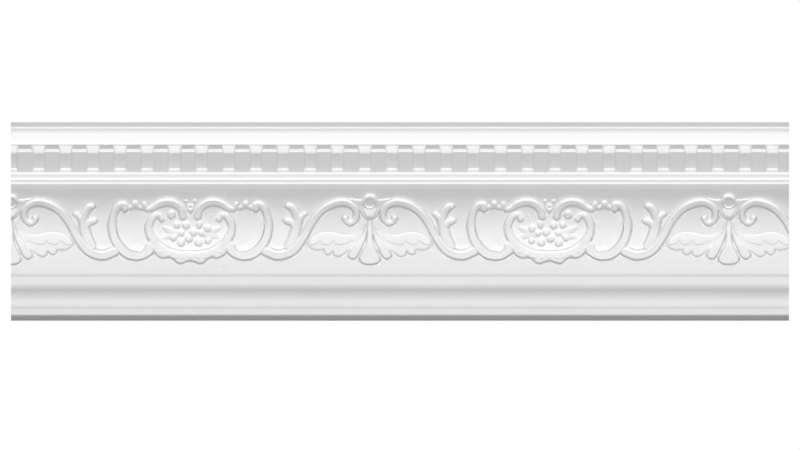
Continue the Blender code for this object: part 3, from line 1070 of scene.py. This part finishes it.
def zone_faces(shell, depth, sizes):
    """Makes the ornament zone's vertices and triangles, and gives the numbers on its fine grid."""
    used = np.zeros(depth.shape, bool)
    leaves = []
    for size in SQUARES:
        origin_rows, origin_columns = np.nonzero(sizes[::size, ::size] == size)
        for down, across in zip(origin_rows * size, origin_columns * size):
            leaves.append((int(down), int(across), size))
    starts = np.array(leaves)
    for corner_down, corner_across in ((0, 0), (0, 1), (1, 0), (1, 1)):
        used[starts[:, 0] + corner_down * starts[:, 2], starts[:, 1] + corner_across * starts[:, 2]] = True
    fans = []
    for down, across, size in leaves:
        if size == 1:
            continue
        middle = size // 2
        split = used[down, across + middle], used[down + size, across + middle]
        split += used[down + middle, across], used[down + middle, across + size]
        if any(split):
            fans.append((down, across, size, split))
            used[down + middle, across + middle] = True
    fan_keys = {(down, across) for down, across, _, _ in fans}
    numbers = np.full(depth.shape, -1)
    spots = np.argwhere(used)
    numbers[used] = shell.add(LOW[0] + FINE * spots[:, 1], depth[used], ZONE_TOP + FINE * spots[:, 0])
    for down, across, size in leaves:
        if (down, across) in fan_keys and size > 1:
            continue
        a, b = numbers[down, across], numbers[down + size, across]
        c, d = numbers[down + size, across + size], numbers[down, across + size]
        one = abs(depth[down, across] - depth[down + size, across + size])
        other = abs(depth[down + size, across] - depth[down, across + size])
        if one < other:
            shell.faces += [[a, b, c], [a, c, d]]
        else:
            shell.faces += [[a, b, d], [b, c, d]]
    for down, across, size, (top, foot, left, right) in fans:
        middle = size // 2
        ring = [(down, across)]
        if left:
            ring.append((down + middle, across))
        ring.append((down + size, across))
        if foot:
            ring.append((down + size, across + middle))
        ring.append((down + size, across + size))
        if right:
            ring.append((down + middle, across + size))
        ring.append((down, across + size))
        if top:
            ring.append((down, across + middle))
        centre = numbers[down + middle, across + middle]
        for start, end in zip(ring, ring[1:] + ring[:1]):
            shell.faces.append([centre, numbers[start], numbers[end]])
    return numbers


def thinned_mesh(mesh):
    """The mesh with its calm spots thinned out in the ornament zone, until TRIANGLE_LIMIT is met."""
    triangles = sum(len(face.vertices) - 2 for face in mesh.polygons)
    if triangles <= TRIANGLE_LIMIT:
        return mesh
    body = bpy.data.objects.new("full_surface", mesh)
    bpy.context.collection.objects.link(body)
    spots = np.empty(3 * len(mesh.vertices))
    mesh.vertices.foreach_get("co", spots)
    spots = spots.reshape(-1, 3) / MM
    down = HIGH[2] - spots[:, 2]
    free = (down > ZONE_TOP + KEPT_MARGIN) & (down < ZONE_FOOT - KEPT_MARGIN)
    free &= spots[:, 1] < -WALL_SKIN
    free &= (spots[:, 0] > LOW[0] + KEPT_MARGIN) & (spots[:, 0] < HIGH[0] - KEPT_MARGIN)
    group = body.vertex_groups.new(name="ornament")
    group.add(np.nonzero(free)[0].tolist(), 1.0, "REPLACE")
    thin = body.modifiers.new("thin", "DECIMATE")
    thin.vertex_group = group.name
    thin.ratio = TRIANGLE_LIMIT / triangles
    graph = bpy.context.evaluated_depsgraph_get()
    light = bpy.data.meshes.new_from_object(body.evaluated_get(graph))
    bpy.data.objects.remove(body, do_unlink=True)
    return light


def make_mesh(shell):
    """The mesh of the shell in metres, with smooth faces and sharp creases."""
    spots = np.vstack(shell.spots) * MM
    mesh = bpy.data.meshes.new("moulding_surface")
    mesh.from_pydata(spots.tolist(), [], [[int(n) for n in face] for face in shell.faces])
    mesh.update()
    body = bmesh.new()
    body.from_mesh(mesh)
    bmesh.ops.remove_doubles(body, verts=body.verts, dist=SAME_SPOT)
    bmesh.ops.dissolve_degenerate(body, edges=body.edges, dist=THINNEST)
    bmesh.ops.recalc_face_normals(body, faces=body.faces)
    body.to_mesh(mesh)
    body.free()
    mesh = thinned_mesh(mesh)
    body = bmesh.new()
    body.from_mesh(mesh)
    zone_head = (HIGH[2] - ZONE_TOP) * MM
    zone_foot = (HIGH[2] - ZONE_FOOT) * MM
    for face in body.faces:
        # the two cut ends stay flat, so that the relief beside them doesn't shade them
        face.smooth = abs(face.normal.x) < FLAT_END
    for edge in body.edges:
        middle = (edge.verts[0].co.z + edge.verts[1].co.z) / 2
        within = zone_foot <= middle <= zone_head
        crease = math.radians(RELIEF_CREASE if within else PLAIN_CREASE)
        edge.smooth = edge.calc_face_angle(0.0) < crease and all(face.smooth for face in edge.link_faces)
    body.to_mesh(mesh)
    body.free()
    return mesh


def matte_white():
    """Matte white primer, with a faint cloud in its shade and a fine grain."""
    material = bpy.data.materials.new("matte_white")
    material.use_nodes = True
    nodes, links = material.node_tree.nodes, material.node_tree.links
    shader = nodes["Principled BSDF"]
    shader.inputs["Roughness"].default_value = 0.62
    shader.inputs["Specular IOR Level"].default_value = 0.25
    place = nodes.new("ShaderNodeTexCoord")
    cloud = nodes.new("ShaderNodeTexNoise")
    cloud.inputs["Scale"].default_value = 14.0
    cloud.inputs["Detail"].default_value = 4.0
    tint = nodes.new("ShaderNodeMapRange")
    tint.inputs["To Min"].default_value = 0.808
    tint.inputs["To Max"].default_value = 0.832
    colour = nodes.new("ShaderNodeCombineColor")
    grain = nodes.new("ShaderNodeTexNoise")
    grain.inputs["Scale"].default_value = 900.0
    grain.inputs["Detail"].default_value = 3.0
    bump = nodes.new("ShaderNodeBump")
    bump.inputs["Strength"].default_value = 0.05
    bump.inputs["Distance"].default_value = 0.0004
    links.new(place.outputs["Object"], cloud.inputs["Vector"])
    links.new(place.outputs["Object"], grain.inputs["Vector"])
    links.new(cloud.outputs["Fac"], tint.inputs["Value"])
    for channel in ("Red", "Green", "Blue"):
        links.new(tint.outputs["Result"], colour.inputs[channel])
    links.new(colour.outputs["Color"], shader.inputs["Base Color"])
    links.new(grain.outputs["Fac"], bump.inputs["Height"])
    links.new(bump.outputs["Normal"], shader.inputs["Normal"])
    return material


def soft_world():
    """Light from all round that grows upward, over a white backdrop."""
    world = bpy.data.worlds.new("studio")
    bpy.context.scene.world = world
    world.use_nodes = True
    nodes, links = world.node_tree.nodes, world.node_tree.links
    nodes.clear()
    soft = nodes.new("ShaderNodeBackground")
    soft.inputs["Color"].default_value = (1.0, 1.0, 1.0, 1.0)
    place = nodes.new("ShaderNodeTexCoord")
    parts = nodes.new("ShaderNodeSeparateXYZ")
    level = nodes.new("ShaderNodeMath")
    level.operation = "MULTIPLY_ADD"
    level.inputs[1].default_value = AMBIENT_RISE * LIGHT_LEVEL
    level.inputs[2].default_value = AMBIENT * LIGHT_LEVEL
    links.new(place.outputs["Generated"], parts.inputs[0])
    links.new(parts.outputs["Z"], level.inputs[0])
    links.new(level.outputs[0], soft.inputs["Strength"])
    plain = nodes.new("ShaderNodeBackground")
    plain.inputs["Color"].default_value = (1.0, 1.0, 1.0, 1.0)
    path = nodes.new("ShaderNodeLightPath")
    mix = nodes.new("ShaderNodeMixShader")
    out = nodes.new("ShaderNodeOutputWorld")
    links.new(path.outputs["Is Camera Ray"], mix.inputs["Fac"])
    links.new(soft.outputs[0], mix.inputs[1])
    links.new(plain.outputs[0], mix.inputs[2])
    links.new(mix.outputs[0], out.inputs["Surface"])


def lamps():
    """Wide soft lamps from the front and above, faint ones from the sides and one from behind."""
    for name, (share, azimuth, elevation, shadow) in LAMPS.items():
        lamp_data = bpy.data.lights.new(name, "SUN")
        lamp_data.energy = share * LIGHT_LEVEL * math.pi
        lamp_data.angle = math.radians(LAMP_SPREAD)
        lamp_data.use_shadow = shadow
        lamp = bpy.data.objects.new(name, lamp_data)
        lamp.rotation_euler = (math.radians(90 - elevation), 0.0, math.radians(azimuth))
        bpy.context.collection.objects.link(lamp)


def pale_floor():
    """A plain pale floor well under the moulding, which throws no light back on it."""
    bpy.ops.mesh.primitive_plane_add(size=FLOOR_SIZE, location=(0, 0, LOW[2] * MM - FLOOR_DROP))
    plane = bpy.context.object
    plane.name = "floor"
    plane.visible_diffuse = False
    paint = bpy.data.materials.new("pale_floor")
    paint.use_nodes = True
    shader = paint.node_tree.nodes["Principled BSDF"]
    shader.inputs["Base Color"].default_value = (0.9, 0.9, 0.9, 1.0)
    shader.inputs["Roughness"].default_value = 0.9
    shader.inputs["Emission Color"].default_value = (1.0, 1.0, 1.0, 1.0)
    shader.inputs["Emission Strength"].default_value = 0.12
    plane.data.materials.append(paint)
    return plane


def level_camera():
    """A camera without perspective, straight ahead of the wall, one photograph's width across."""
    camera_data = bpy.data.cameras.new("camera")
    camera_data.type = "ORTHO"
    camera_data.ortho_scale = PHOTO_WIDTH * PHOTO_SCALE
    camera = bpy.data.objects.new("camera", camera_data)
    bpy.context.collection.objects.link(camera)
    middle = (HIGH[2] + LOW[2]) / 2
    camera.location = (PHOTO_SHIFT[0] * MM, -CAMERA_AWAY, (PHOTO_SHIFT[1] + middle) * MM)
    camera.rotation_euler = (math.pi / 2, 0.0, 0.0)
    bpy.context.scene.camera = camera
    bpy.context.scene.view_settings.view_transform = "Standard"


shell = build_shell()
moulding = bpy.data.objects.new("moulding_surface", make_mesh(shell))
bpy.context.collection.objects.link(moulding)
moulding.data.materials.append(matte_white())
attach(moulding, "root")
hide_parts(NODE)

soft_world()
lamps()
floor = pale_floor()
level_camera()
